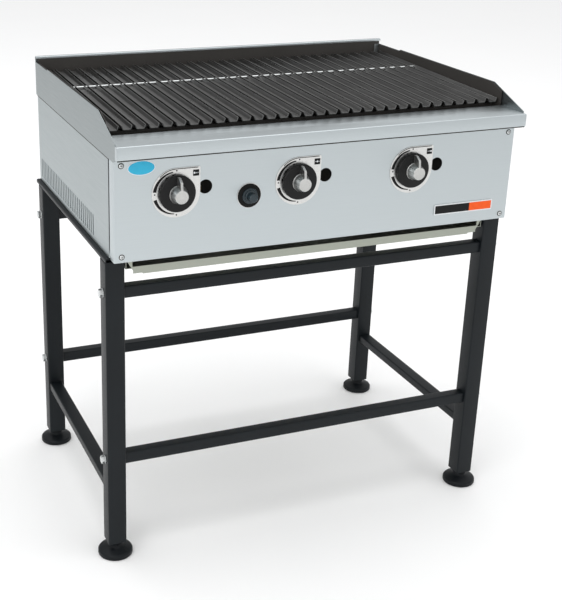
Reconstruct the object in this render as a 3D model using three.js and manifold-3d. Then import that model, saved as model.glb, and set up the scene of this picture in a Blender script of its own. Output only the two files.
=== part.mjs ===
// Free-standing three-burner gas charbroiler on a black knock-down stand.
// Millimetres, +Z up, X to the operator's right, Y towards the wall.
// Pieces are laid out with y = 0 at the front face of the hob lip; the last step moves
// the whole group so that the origin is under the middle of the object, on the floor.
import * as THREE from 'three';
import { mergeVertices } from 'three/addons/utils/BufferGeometryUtils.js';
import Module from 'manifold-3d';

const wasm = await Module();
wasm.setup();

// ---------------------------------------------------------------- driving dimensions
const sheet = 1.5;              // stainless sheet
const liner = 1.5;              // enamelled fire box sheet
const gap = 0.3;                // clearance between touching pieces

const lipWidth = 900;           // hob lip and side guards
const cabinetWidth = 895;       // control panel and side panels
const standWidth = 913;         // over the legs

const panelFront = 31;          // control panel sits this far behind the lip
const panelReturn = 26;         // fold of the control panel round each side
const sideFront = 64;           // side panels start here, behind a dark groove
const sideRear = 634;           // side panels end here
const cabinetRear = 637.6;      // back of the rear splash

const standTop = 690;           // cabinet rests here
const lipBottom = 902.8;
const lipTop = 929.5;
const skirtBottom = 895;        // lower edge of the hob skirt at the sides and back
const skinTop = 906;            // side and back panels reach up behind the skirt
const guardTop = 974;           // side guards
const guardBend = 122;          // they rise to here, then run level
const guardNotch = 524;         // and step down a little near the back
const guardStep = 3;
const splashTop = 984.4;        // rear splash

const legSize = 40;
const legWall = 2;
const legFoot = 32.5;           // bottom of the leg tubes
const frontLegY = 81;           // leg centre lines
const rearLegY = 600.5;
const legX = standWidth / 2 - legSize / 2;
const topRailHeight = 10;
const topRailRear = 637;

const stretcherSize = 25.5;
const upperStretcherZ = 611.8;
const lowerStretcherZ = 234;
const sideRailWidth = 30;
const sideRailHeight = 20;
const sideRailTop = 173;
const sideRailX = 438.4;         // centre line of the low side rails

const burnerPitch = 260;
const burnerCentreX = -1;       // middle burner and middle lighting hole
const knobOffsetX = -60;        // each knob from its burner line
const knobZ = 822;
const lightingZ = 829;
const burnerZ = 800;
const igniterX = -168;
const igniterZ = 802;

const gutterFront = 86.5;       // grease gutter between the ledge and the fire box
const gutterRear = 114;
const gutterBottom = 905;
const boxFront = 116;           // fire box walls
const boxRear = 626.7;
const boxBottom = 722;
const boxHalfLower = 416;
const boxHalfUpper = 445.7;
const boxShoulder = 868;

const grateSections = 4;
const barsPerSection = 8;
const barPitch = 27.6;
const barWidth = 23;
const barDepth = 9;
const barWall = 2.2;
const tieDepth = 6;             // cross ties under the bars
const barTaper = 3;
const barFront = 93;
const barRear = 606;
const grateFrontZ = 944.6;        // top of the bars at the gutter
const grateRearZ = 957;         // and at the back, so that grease runs forward

const trayHalf = 398;
const trayFront = 65;
const trayRear = 632;           // behind the rear wall of the fire box, to catch all its grease
const trayTop = 666;
const trayHeight = 15.5;
const trayTrough = 387;         // half width of the open trough between the rims

const burners = [-1, 0, 1];

// ---------------------------------------------------------------- materials
const finish = (color, roughness, metalness) =>
  new THREE.MeshStandardMaterial({ color, roughness, metalness });
const stainless = finish(0xc3cccf, 0.32, 1.0);
const blackPaint = finish(0x23282b, 0.55, 0.1);
const enamel = finish(0x343331, 0.6, 0.2);
const castIron = finish(0x4c4c4c, 0.5, 0.7);
const zinc = finish(0xc9ccc8, 0.35, 1.0);
const brass = finish(0xb79a55, 0.35, 1.0);
const galvanised = finish(0xafb4aa, 0.4, 0.8);
const footPlastic = finish(0x171c20, 0.6, 0.0);
const knobMetal = finish(0xccccc9, 0.3, 0.9);
const gloss = finish(0x151515, 0.3, 0.0);
const badgeFinish = finish(0x2b2b2b, 0.35, 0.0);

// ---------------------------------------------------------------- solids and booleans
function toSolid(geometry) {
  const bare = geometry.clone();
  bare.deleteAttribute('normal');
  bare.deleteAttribute('uv');
  const merged = mergeVertices(bare, 1e-4);
  return new wasm.Manifold(new wasm.Mesh({
    numProp: 3,
    vertProperties: new Float32Array(merged.attributes.position.array),
    triVerts: new Uint32Array(merged.index.array),
  }));
}

function toGeometry(solid) {
  const mesh = solid.getMesh();
  const geometry = new THREE.BufferGeometry();
  geometry.setAttribute('position', new THREE.BufferAttribute(mesh.vertProperties, 3));
  geometry.setIndex(new THREE.BufferAttribute(mesh.triVerts, 1));
  geometry.computeVertexNormals();
  return geometry;
}

function shape(joined, removed = []) {
  let solid = toSolid(joined[0]);
  for (const extra of joined.slice(1)) solid = solid.add(toSolid(extra));
  for (const cutter of removed) solid = solid.subtract(toSolid(cutter));
  return toGeometry(solid);
}

// ---------------------------------------------------------------- basic forms
function block(x0, x1, y0, y1, z0, z1) {
  const geometry = new THREE.BoxGeometry(x1 - x0, y1 - y0, z1 - z0);
  geometry.translate((x0 + x1) / 2, (y0 + y1) / 2, (z0 + z1) / 2);
  return geometry;
}

const facing = {
  x: new THREE.Matrix4().makeBasis(
    new THREE.Vector3(0, 1, 0), new THREE.Vector3(0, 0, 1), new THREE.Vector3(1, 0, 0)),
  y: new THREE.Matrix4().makeBasis(
    new THREE.Vector3(0, 0, 1), new THREE.Vector3(1, 0, 0), new THREE.Vector3(0, 1, 0)),
  z: new THREE.Matrix4(),
};

// An outline swept straight along an axis: (y, z) points along x, (z, x) along y, (x, y) along z.
function sweep(axis, outline, start, end) {
  const geometry = new THREE.ExtrudeGeometry(outline, { depth: end - start, bevelEnabled: false });
  geometry.applyMatrix4(facing[axis]);
  geometry.translate(
    axis === 'x' ? start : 0, axis === 'y' ? start : 0, axis === 'z' ? start : 0);
  return geometry;
}

function outlineOf(points) {
  return new THREE.Shape(points.map(([u, v]) => new THREE.Vector2(u, v)));
}

function bar(axis, radius, start, end, centre, sides = 20) {
  const outline = new THREE.Shape();
  outline.absarc(centre[0], centre[1], radius, 0, 2 * Math.PI);
  const geometry = new THREE.ExtrudeGeometry(
    outline, { depth: end - start, bevelEnabled: false, curveSegments: sides / 2 });
  geometry.applyMatrix4(facing[axis]);
  geometry.translate(
    axis === 'x' ? start : 0, axis === 'y' ? start : 0, axis === 'z' ? start : 0);
  return geometry;
}

// A folded sheet: the path is its outer face, the thickness lies on the left of the path.
function foldedSheet(path, thickness) {
  const normals = path.slice(1).map(([u, v], i) => {
    const run = new THREE.Vector2(u - path[i][0], v - path[i][1]).normalize();
    return new THREE.Vector2(-run.y, run.x);
  });
  const inner = path.map(([u, v], i) => {
    const before = normals[Math.max(i - 1, 0)];
    const after = normals[Math.min(i, normals.length - 1)];
    const reach = thickness / (1 + before.dot(after));
    return [u + (before.x + after.x) * reach, v + (before.y + after.y) * reach];
  });
  return outlineOf([...path, ...inner.reverse()]);
}

// A square or rectangular tube along an axis, open at both ends.
function squareTube(axis, width, height, wall, start, end, centre) {
  const frame = (w, h) => [
    [centre[0] - w / 2, centre[1] - h / 2], [centre[0] + w / 2, centre[1] - h / 2],
    [centre[0] + w / 2, centre[1] + h / 2], [centre[0] - w / 2, centre[1] + h / 2]];
  const outline = outlineOf(frame(width, height));
  outline.holes.push(outlineOf(frame(width - 2 * wall, height - 2 * wall)));
  return sweep(axis, outline, start, end);
}

function turned(profile, sides = 28) {
  const geometry = new THREE.LatheGeometry(
    profile.map(([r, h]) => new THREE.Vector2(r, h)), sides);
  geometry.rotateX(Math.PI / 2);
  return geometry;
}

// Lathe pieces point along +Z after turning; this lays them along -Y (towards the operator).
function towardsFront(geometry, x, y, z) {
  geometry.rotateX(Math.PI / 2);
  geometry.translate(x, y, z);
  return geometry;
}

// ---------------------------------------------------------------- the assembly
const grill = new THREE.Group();
const cabinet = new THREE.Group();
grill.add(cabinet);

function place(name, geometry, material) {
  const mesh = new THREE.Mesh(geometry, material);
  mesh.name = name;
  cabinet.add(mesh);
}

const sides = [['left', -1], ['right', 1]];
const rows = [['front', frontLegY], ['rear', rearLegY]];
const levels = [['upper', upperStretcherZ], ['lower', lowerStretcherZ]];
const ordered = (a, b) => (a < b ? [a, b] : [b, a]);

// ---------------------------------------------------------------- stand
const boltRadius = 4;
const boltHole = boltRadius + gap;
const stemRadius = 6;
const plugHeight = 14;
const topRailBottom = standTop - topRailHeight;

function leg(side, y) {
  const x = side * legX;
  const half = legSize / 2;
  const tube = squareTube('z', legSize, legSize, legWall, legFoot, topRailBottom - gap, [x, y]);
  const plug = block(x - half + 1, x + half - 1, y - half + 1, y + half - 1,
    legFoot, legFoot + plugHeight);
  const boltHoles = levels.map(([, z]) => bar('x', boltHole, x - half - 1, x + half + 1, [y, z], 10));
  const stemHole = bar('z', stemRadius + gap, legFoot - 1, legFoot + plugHeight + 1, [x, y], 12);
  return shape([tube, plug], [...boltHoles, stemHole]);
}

function stretcher(y, z) {
  const end = legX - legSize / 2 - gap;
  const tube = squareTube('x', stretcherSize, stretcherSize, legWall, -end, end, [y, z]);
  const half = stretcherSize / 2 - 1;
  const plugs = sides.map(([, side]) => {
    const [x0, x1] = ordered(side * end, side * (end - 20));
    return block(x0, x1, y - half, y + half, z - half, z + half);
  });
  const holes = sides.map(([, side]) => {
    const [x0, x1] = ordered(side * (end + 1), side * (end - 21));
    return bar('x', boltHole, x0, x1, [y, z], 10);
  });
  return shape([tube, ...plugs], holes);
}

function hexBolt(side, y, z) {
  const face = legX + legSize / 2 + gap;
  const washer = 1.6;
  const washerRadius = 9.5;
  const head = 7.3;
  const acrossFlats = 16;
  const corner = acrossFlats / Math.sqrt(3);
  const hexagon = outlineOf([...Array(6).keys()].map((i) => [
    y + corner * Math.cos(i * Math.PI / 3), z + corner * Math.sin(i * Math.PI / 3)]));
  const span = (a, b) => ordered(side * (face + a), side * (face + b));
  return shape([
    bar('x', washerRadius, ...span(0, washer), [y, z], 12),
    sweep('x', hexagon, ...span(washer - 0.5, washer + head)),
    bar('x', boltRadius, ...span(-(legSize + 17), 0.5), [y, z], 10),
  ]);
}

function levellingFoot(x, y) {
  const profile = [
    [0, 0], [36, 0], [37.5, 2], [37.5, 10], [34, 14], [17, 20], [15, 24],
    [15, 31.8], [stemRadius, 31.8], [stemRadius, 84], [0, 84]];
  const geometry = turned(profile, 24);
  geometry.translate(x, y, 0);
  return geometry;
}

for (const [sideName, side] of sides) {
  const x = side * legX;
  for (const [rowName, y] of rows) {
    place(`leg_${rowName}_${sideName}`, leg(side, y), blackPaint);
    place(`foot_${rowName}_${sideName}`, levellingFoot(x, y), footPlastic);
    for (const [levelName, z] of levels) {
      place(`bolt_${rowName}_${levelName}_${sideName}`, hexBolt(side, y, z), zinc);
    }
  }
  place(`top_rail_${sideName}`,
    squareTube('y', topRailHeight, legSize, legWall, frontLegY - legSize / 2, topRailRear,
      [standTop - topRailHeight / 2, x]), blackPaint);
  place(`side_rail_${sideName}`,
    squareTube('y', sideRailHeight, sideRailWidth, legWall,
      frontLegY + legSize / 2 + gap, rearLegY - legSize / 2 - gap,
      [sideRailTop - sideRailHeight / 2, side * sideRailX]), blackPaint);
}
for (const [rowName, y] of rows) {
  for (const [levelName, z] of levels) {
    place(`stretcher_${rowName}_${levelName}`, stretcher(y, z), blackPaint);
  }
}

// ---------------------------------------------------------------- cabinet skin
const panelBottom = standTop + 0.6;
const panelTop = lipBottom - 0.4;
const lightingRadius = 14.3;
const knobHole = 8;
const igniterHole = 11;
const panelScrewX = 432;
const panelScrewZ = [702, 885];

function controlPanel() {
  const half = cabinetWidth / 2;
  const rear = panelFront + panelReturn;
  const tray = sweep('z', foldedSheet(
    [[-half, rear], [-half, panelFront], [half, panelFront], [half, rear]], sheet),
  panelBottom, panelTop);
  const flangeDepth = 12;
  const flanges = [panelBottom, panelTop - sheet].map((z) =>
    block(-half + 1, half - 1, panelFront + 0.5, panelFront + flangeDepth, z, z + sheet));
  const through = [panelFront - 1, panelFront + sheet + 1];
  const holes = burners.flatMap((i) => {
    const x = burnerCentreX + i * burnerPitch;
    return [
      bar('y', lightingRadius, ...through, [lightingZ, x], 24),
      bar('y', knobHole, ...through, [knobZ, x + knobOffsetX], 16),
    ];
  });
  holes.push(bar('y', igniterHole, ...through, [igniterZ, igniterX], 20));
  for (const [, side] of sides) {
    for (const z of panelScrewZ) holes.push(bar('y', 2.2, ...through, [z, side * panelScrewX], 8));
  }
  return shape([tray, ...flanges], holes);
}

const supplyX = 431;
const supplyEnd = 660;          // threaded gas inlet behind the cabinet
const supplyZ = 772;
const supplyHoleRadius = 12;
const supplyHole = () => bar('y', supplyHoleRadius, sideRear - 4, sideRear + 6,
  [supplyZ, supplyX], 16);

const ventFront = 172;
const ventBottom = 702;
const ventTop = 746;
const ventPitch = 15;
const ventSlots = 30;
const ventSlotWidth = 6;

function sidePanel(side) {
  const outer = side * cabinetWidth / 2;
  const inward = -side;
  const flange = 14;
  const bottom = standTop + 2 * gap;
  const path = [[outer + inward * flange, sideFront], [outer, sideFront],
    [outer, sideRear], [outer + inward * flange, sideRear]];
  const wall = sweep('z', foldedSheet(side < 0 ? path.reverse() : path, sheet),
    bottom, skinTop);
  const [x0, x1] = ordered(outer + inward * 0.5, outer + inward * flange);
  const floor = block(x0, x1, sideFront + 0.5, sideRear - 0.5, bottom, bottom + sheet);
  const slots = [...Array(ventSlots).keys()].map((i) => {
    const y = ventFront + i * ventPitch;
    return block(outer - 5, outer + 5, y, y + ventSlotWidth, ventBottom, ventTop);
  });
  return shape([wall, floor], side > 0 ? [...slots, supplyHole()] : slots);
}

function hobLip() {
  const half = lipWidth / 2 - 2;
  const ledgeRear = 85;
  const lipFloor = 28;
  const profile = foldedSheet([
    [panelFront + lipFloor, lipBottom], [0, lipBottom], [0, lipTop],
    [ledgeRear, lipTop + 1.5], [ledgeRear, lipTop - 14]].reverse(), sheet);
  const endDepth = 9.5;
  const caps = sides.map(([, side]) => {
    const [x0, x1] = ordered(side * (half - 1), side * lipWidth / 2);
    return block(x0, x1, 0, endDepth, lipBottom, lipTop);
  });
  return shape([sweep('x', profile, -half, half), ...caps]);
}

const guardRise = (guardTop - lipTop) / guardBend;

// The side guard rises from the lip corner to the bend, runs level and steps down near the back.
function sideGuard(side) {
  const front = 10;
  const rear = cabinetRear - sheet - gap;
  const outline = outlineOf([
    [front, lipBottom - 2], [23, skirtBottom], [rear, skirtBottom], [rear, guardTop - guardStep],
    [guardNotch + guardStep, guardTop - guardStep], [guardNotch, guardTop],
    [guardBend, guardTop], [front, lipTop + guardRise * front]]);
  const [x0, x1] = ordered(side * lipWidth / 2, side * (lipWidth / 2 - sheet));
  return sweep('x', outline, x0, x1);
}

function rearSplash() {
  const hemFront = 627;
  const hemDrop = 5.1;
  return sweep('x', foldedSheet([
    [cabinetRear, skirtBottom], [cabinetRear, splashTop], [hemFront, splashTop],
    [hemFront, splashTop - hemDrop]], sheet), -lipWidth / 2, lipWidth / 2);
}

place('control_panel', controlPanel(), stainless);
for (const [sideName, side] of sides) {
  place(`side_panel_${sideName}`, sidePanel(side), stainless);
  place(`side_guard_${sideName}`, sideGuard(side), stainless);
}
const backHalf = cabinetWidth / 2 - sheet;
place('back_panel', shape([block(-backHalf, backHalf, sideRear + gap, sideRear + gap + sheet,
  standTop + 2 * gap, skinTop)], [supplyHole()]), stainless);
place('rear_splash', rearSplash(), stainless);
place('hob_lip', hobLip(), stainless);

// ---------------------------------------------------------------- fire box and gutter
const rearLedge = 36;
const grateSlope = Math.atan2(grateRearZ - grateFrontZ, barRear - barFront);
const frontSupport = grateFrontZ - barDepth - tieDepth;
const rearSupport = grateFrontZ - barDepth - gap
  + (boxRear - rearLedge - barFront) * Math.tan(grateSlope);

// Sloping foot of a side wall, which sheds grease into the trough of the drip tray.
function dripFlange(side) {
  const outer = boxHalfLower + liner;
  const tip = trayTrough - 0.8;
  const path = [[boxBottom + 4, outer], [boxBottom, outer], [boxBottom - 24, tip]];
  const section = foldedSheet(side > 0 ? path
    : path.map(([z, x]) => [z, -x]).reverse(), liner);
  return sweep('y', section, boxFront, boxRear);
}

function fireBox() {
  const upperInner = boxHalfUpper - liner;
  const linerFront = gutterFront + 0.6;
  const linerDrop = 1;
  const pieces = [];
  for (const [, side] of sides) {
    const span = (a, b) => ordered(side * a, side * b);
    pieces.push(block(...span(boxHalfLower, boxHalfLower + liner), boxFront, boxRear,
      boxBottom, boxShoulder + liner));
    pieces.push(block(...span(boxHalfLower, boxHalfUpper), boxFront, boxRear,
      boxShoulder, boxShoulder + liner));
    pieces.push(sweep('x', outlineOf([
      [boxFront, boxShoulder], [boxRear, boxShoulder],
      [boxRear, guardTop - guardStep - linerDrop],
      [guardNotch, guardTop - guardStep - linerDrop],
      [guardNotch - guardStep, guardTop - linerDrop], [guardBend + 1, guardTop - linerDrop],
      [linerFront, lipTop + guardRise * linerFront - linerDrop],
      [linerFront, gutterBottom + 4], [boxFront, gutterBottom + 4]]),
    ...span(upperInner, boxHalfUpper)));
    pieces.push(dripFlange(side));
  }
  pieces.push(block(-boxHalfLower, boxHalfLower, boxFront, boxFront + liner, boxBottom, boxShoulder + 1));
  pieces.push(block(-boxHalfUpper + 1, boxHalfUpper - 1, boxFront, boxFront + liner,
    boxShoulder, frontSupport));
  pieces.push(block(-boxHalfLower, boxHalfLower, boxRear - liner, boxRear, boxBottom, boxShoulder + 1));
  pieces.push(block(-boxHalfUpper, boxHalfUpper, boxRear - liner, boxRear,
    boxShoulder, splashTop - 5.5));
  // Ledges that carry the grate sections and, lower down, the radiants.
  const ledge = 22;
  pieces.push(block(-upperInner - 0.5, upperInner + 0.5, boxFront + 0.5, boxFront + ledge,
    frontSupport - liner, frontSupport));
  pieces.push(block(-upperInner - 0.5, upperInner + 0.5, boxRear - rearLedge, boxRear - 0.5,
    rearSupport - liner, rearSupport));
  for (const y of [boxFront + 0.5, boxRear - ledge - 0.5]) {
    pieces.push(block(-boxHalfLower - 0.5, boxHalfLower + 0.5, y, y + ledge,
      boxShoulder, boxShoulder + liner));
  }
  const mouths = burners.map((i) => bar('y', 19, boxFront - 1, boxFront + liner + 1,
    [burnerZ, burnerCentreX + i * burnerPitch], 20));
  return shape(pieces, mouths);
}

const spoutX = -370;
const gutterHalf = boxHalfUpper - 1.9;

function greaseGutter() {
  const spoutRadius = 10;
  const top = lipTop - 6;
  const middle = (gutterFront + gutterRear) / 2;
  const trough = sweep('x', foldedSheet([
    [gutterFront, top], [gutterFront, gutterBottom], [gutterRear, gutterBottom],
    [gutterRear, top]], sheet), -gutterHalf, gutterHalf);
  const ends = sides.map(([, side]) => block(...ordered(side * gutterHalf, side * (gutterHalf - sheet)),
    gutterFront + 0.2, gutterRear - 0.2, gutterBottom, top));
  const spout = bar('z', spoutRadius, trayTop + 6, gutterBottom + 1, [spoutX, middle], 16);
  const bore = bar('z', spoutRadius - 1.5, trayTop, gutterBottom + 3, [spoutX, middle], 16);
  return shape([trough, ...ends, spout], [bore]);
}

place('fire_box', fireBox(), enamel);
place('grease_gutter', greaseGutter(), enamel);

// ---------------------------------------------------------------- grate
const sectionWidth = barsPerSection * barPitch;
const tieStarts = [30, 474];     // cross ties, from the front end of the bars
const tieWidth = 14;

// Each bar is a channel that catches grease and leads it to the gutter.
function grateBar(x) {
  const half = barWidth / 2;
  const length = barRear - barFront;
  const profile = foldedSheet([
    [0, x + half], [-barDepth, x + half - barTaper],
    [-barDepth, x - half + barTaper], [0, x - half]], barWall);
  return sweep('y', profile, 0, length);
}

function grateSection(index) {
  const centre = (index - (grateSections - 1) / 2) * sectionWidth;
  const bars = [...Array(barsPerSection).keys()].map((i) =>
    grateBar(centre + (i - (barsPerSection - 1) / 2) * barPitch));
  const half = sectionWidth / 2 - 2;
  const ties = tieStarts.map((y) =>
    block(centre - half, centre + half, y, y + tieWidth, -barDepth - tieDepth, -barDepth + 1));
  const geometry = shape([...ties, ...bars]);
  geometry.rotateX(grateSlope);
  geometry.translate(0, barFront, grateFrontZ);
  return geometry;
}

for (let i = 0; i < grateSections; i += 1) {
  place(`grate_section_${i + 1}`, grateSection(i), castIron);
}

// ---------------------------------------------------------------- burners and radiants
const burnerMouth = 97;
const burnerEnd = 596;
const burnerRadius = 16;

function burner(x) {
  const wall = 2;
  const length = burnerEnd - burnerMouth;
  const tube = turned([
    [17, 0], [12, 16], [11, 40], [burnerRadius, 62], [burnerRadius, length],
    [0, length], [0, length - wall], [burnerRadius - wall, length - wall],
    [burnerRadius - wall, 63], [11 - wall, 41], [12 - wall, 17], [17 - wall, 0], [17, 0]], 16);
  tube.rotateX(-Math.PI / 2);
  tube.translate(x, burnerMouth, burnerZ);
  const ports = [...Array(9).keys()].flatMap((i) => {
    const y = burnerMouth + 85 + i * 45;
    return [block(x - burnerRadius - 1, x - 8, y, y + 30, burnerZ + 5, burnerZ + 7),
      block(x + 8, x + burnerRadius + 1, y, y + 30, burnerZ + 5, burnerZ + 7)];
  });
  return shape([tube], ports);
}

function radiant(x) {
  const halfWidth = 66;
  const base = boxShoulder + liner + gap;
  const rise = 34;
  const outline = foldedSheet([
    [base, x + halfWidth], [base + rise, x + 6], [base + rise, x - 6], [base, x - halfWidth]],
  2);
  return sweep('y', outline, boxFront + 4, boxRear - 5);
}

burners.forEach((i) => {
  const x = burnerCentreX + i * burnerPitch;
  place(`burner_${i + 2}`, burner(x), castIron);
  place(`radiant_${i + 2}`, radiant(x), castIron);
});

// ---------------------------------------------------------------- gas train
const manifoldY = 77;
const manifoldRadius = 10.5;

function gasManifold() {
  const first = burnerCentreX - burnerPitch + knobOffsetX;
  const elbow = 12.4;
  const nutFront = supplyEnd - 20;
  const nutRear = supplyEnd - 6;
  const pieces = [
    bar('x', manifoldRadius, first - 20, supplyX, [manifoldY, supplyZ], 16),
    bar('y', manifoldRadius, manifoldY, supplyEnd, [supplyZ, supplyX], 16),
    block(supplyX - elbow, supplyX + elbow, manifoldY - 11, manifoldY + 14,
      supplyZ - elbow, supplyZ + elbow),
    sweep('y', outlineOf([...Array(6).keys()].map((i) => [
      supplyZ + 17 * Math.cos(i * Math.PI / 3), supplyX + 13 * Math.sin(i * Math.PI / 3)])),
    nutFront, nutRear),
  ];
  for (const i of burners) {
    const burnerX = burnerCentreX + i * burnerPitch;
    const x = burnerX + knobOffsetX;
    pieces.push(block(x - 14, x + 14, 54, 90, knobZ - 17, knobZ + 17));
    pieces.push(bar('z', 8, supplyZ, knobZ, [x, manifoldY], 12));
    pieces.push(bar('x', 5, x, burnerX, [manifoldY, knobZ - 9], 12));
    pieces.push(block(burnerX - 7, burnerX + 7, manifoldY - 7, manifoldY + 7,
      burnerZ - 7, knobZ - 3));
    pieces.push(bar('y', 4.5, manifoldY, burnerMouth - 2, [burnerZ, burnerX], 12));
  }
  const sockets = burners.map((i) => bar('y', 4.8, 53, 80,
    [knobZ, burnerCentreX + i * burnerPitch + knobOffsetX], 16));
  return shape(pieces, sockets);
}
place('gas_manifold', gasManifold(), brass);

// ---------------------------------------------------------------- knobs
const bezelThickness = 1.2;
const bezelLeft = 51;
const bezelRight = 49;
const bezelRise = 50;
const knobTravel = 3;            // pushed in before it will turn
const knobBack = panelFront - bezelThickness - knobTravel - 0.6;
const knobDiscRadius = 37;
const knobFront = -3;
const spindleRadius = 4;

// Bezel plate: round on three corners and square at the top right.
function bezel(x) {
  const plate = new THREE.Shape();
  plate.moveTo(bezelRise, 0);
  plate.lineTo(bezelRise, bezelRight);
  plate.lineTo(0, bezelRight);
  plate.absellipse(0, 0, bezelRise, bezelRight, Math.PI / 2, Math.PI, false);
  plate.absellipse(0, 0, bezelRise, bezelLeft, Math.PI, 2 * Math.PI, false);
  const hole = new THREE.Path();
  hole.absarc(0, 0, knobHole, 0, 2 * Math.PI, true);
  plate.holes.push(hole);
  const geometry = new THREE.ExtrudeGeometry(
    plate, { depth: bezelThickness - gap, bevelEnabled: false, curveSegments: 14 });
  geometry.applyMatrix4(facing.y);
  geometry.translate(x, panelFront - bezelThickness, knobZ);
  return geometry;
}

function knob(x) {
  const socketDepth = 20;
  const shaftBase = 18;
  const shaftTip = 13.5;
  const length = knobBack - knobFront;
  const body = towardsFront(turned([
    [spindleRadius + gap, 0], [knobDiscRadius - 1, 0], [knobDiscRadius, 1], [knobDiscRadius, 4],
    [knobDiscRadius - 2.5, 6.5], [shaftBase + 1, 8], [shaftBase, 9],
    [shaftTip, length - 1.2], [shaftTip - 1.2, length], [0, length],
    [0, socketDepth], [spindleRadius + gap, socketDepth], [spindleRadius + gap, 0]], 24),
  x, knobBack, knobZ);
  // Upright fin as deep as the shaft, sloped off at the rim of the disc.
  const finHalf = 2.6;
  const finStart = knobZ + shaftTip - 2;
  const finEnd = knobZ + knobDiscRadius - 2.5;
  const fin = sweep('x', outlineOf([
    [knobBack - 6, finStart], [knobBack - 6, finEnd], [knobBack - 15, finEnd],
    [knobFront + 3, finEnd - 7], [knobFront + 1, finStart]]), x - finHalf, x + finHalf);
  return shape([body, fin], []);
}

function spindle(x) {
  const rear = 74;
  return bar('y', spindleRadius, knobBack - 16, rear, [knobZ, x], 16);
}

burners.forEach((i) => {
  const x = burnerCentreX + i * burnerPitch + knobOffsetX;
  place(`knob_bezel_${i + 2}`, bezel(x), knobMetal);
  place(`valve_spindle_${i + 2}`, spindle(x), brass);
  place(`knob_${i + 2}`, knob(x), knobMetal);
});

// ---------------------------------------------------------------- igniter
const escutcheonRadius = 25;
const buttonRadius = 9;

function igniterBody() {
  const tail = 46;
  const collar = 13;
  const bore = buttonRadius + gap;
  const profile = [
    [bore, collar], [bore, -20], [0, -20], [0, -tail], [10.4, -tail],
    [10.4, -gap], [escutcheonRadius - 0.5, -gap], [escutcheonRadius, 0.5], [escutcheonRadius, 2],
    [escutcheonRadius - 2, 3.5], [15, 5], [13, 7], [13, collar - 1], [12, collar], [bore, collar]];
  return towardsFront(turned(profile, 22), igniterX, panelFront - 2 * gap, igniterZ);
}

function igniterButton() {
  const profile = [
    [0, -11], [buttonRadius, -11], [buttonRadius, 23.5], [buttonRadius - 1.5, 25], [0, 25]];
  return towardsFront(turned(profile, 20), igniterX, panelFront - 2 * gap, igniterZ);
}
place('igniter_body', igniterBody(), gloss);
place('igniter_button', igniterButton(), gloss);

// ---------------------------------------------------------------- drip tray and runners
function dripTray() {
  const wall = 1.2;
  const taper = 10;
  const bottom = trayTop - trayHeight;
  const inner = trayTrough;
  const section = foldedSheet([
    [-trayHalf, trayTop], [-inner, trayTop], [-inner + taper, bottom], [inner - taper, bottom],
    [inner, trayTop], [trayHalf, trayTop]].map(([x, z]) => [z, x]), wall);
  const pan = sweep('y', section, trayFront, trayRear);
  const end = (y) => sweep('y', outlineOf([
    [trayTop, -inner - 0.2], [bottom, -inner + taper - 0.2], [bottom, inner - taper + 0.2],
    [trayTop, inner + 0.2]].reverse()), y, y + wall);
  const apron = block(-trayHalf, trayHalf, trayFront, trayFront + wall, bottom + 1, trayTop);
  return shape([pan, end(trayFront), end(trayRear - wall), apron]);
}

function trayRunner(side) {
  const path = [[standTop + 0.6, 413], [trayTop - 4.5, 413], [trayTop - 4.5, 390]];
  const section = foldedSheet(side > 0 ? path.map(([z, x]) => [z, x])
    : path.map(([z, x]) => [z, -x]).reverse(), sheet);
  return sweep('y', section, trayFront + 2, topRailRear);
}

place('drip_tray', dripTray(), galvanised);
for (const [sideName, side] of sides) {
  place(`tray_runner_${sideName}`, trayRunner(side), galvanised);
}

// ---------------------------------------------------------------- badge
const badgeLeft = 263;
const badgeRight = 408;
const badgeBottom = 715;
const badgeTop = 738;
place('badge', block(badgeLeft, badgeRight, panelFront - 1.8, panelFront - gap, badgeBottom, badgeTop),
  badgeFinish);

// ---------------------------------------------------------------- origin under the middle
cabinet.position.y = -(knobFront + supplyEnd) / 2;

export default grill;
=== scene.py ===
"""Looks of the free-standing three-burner charbroiler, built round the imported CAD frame.

Metres, +Z up, X to the operator's right, Y towards the wall, origin on the floor under
the middle of the object. Lengths written with `* MM` are millimetres.
"""
import math

import bmesh
import bpy
from mathutils import Matrix, Vector


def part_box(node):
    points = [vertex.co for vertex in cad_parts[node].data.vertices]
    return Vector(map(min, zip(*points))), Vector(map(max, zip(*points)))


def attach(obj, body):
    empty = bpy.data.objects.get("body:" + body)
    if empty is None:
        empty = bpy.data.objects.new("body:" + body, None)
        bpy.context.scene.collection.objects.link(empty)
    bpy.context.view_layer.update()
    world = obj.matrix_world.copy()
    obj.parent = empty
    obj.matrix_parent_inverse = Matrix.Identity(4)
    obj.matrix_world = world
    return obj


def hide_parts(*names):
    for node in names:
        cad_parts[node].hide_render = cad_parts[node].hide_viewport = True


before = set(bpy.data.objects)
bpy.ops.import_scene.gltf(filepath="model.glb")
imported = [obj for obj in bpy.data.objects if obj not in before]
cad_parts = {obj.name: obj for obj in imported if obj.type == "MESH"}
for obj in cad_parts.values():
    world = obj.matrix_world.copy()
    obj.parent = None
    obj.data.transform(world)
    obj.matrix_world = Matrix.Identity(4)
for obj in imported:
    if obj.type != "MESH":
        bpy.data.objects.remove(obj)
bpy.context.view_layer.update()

MM = 0.001
FINE_GAP = 0.15 * MM            # lifts printed marks and labels off what they lie on
SIDES = (("left", -1), ("right", 1))
ROWS = ("front", "rear")
LEVELS = ("upper", "lower")
STATIONS = (1, 2, 3)
SECTIONS = (1, 2, 3, 4)


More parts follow.
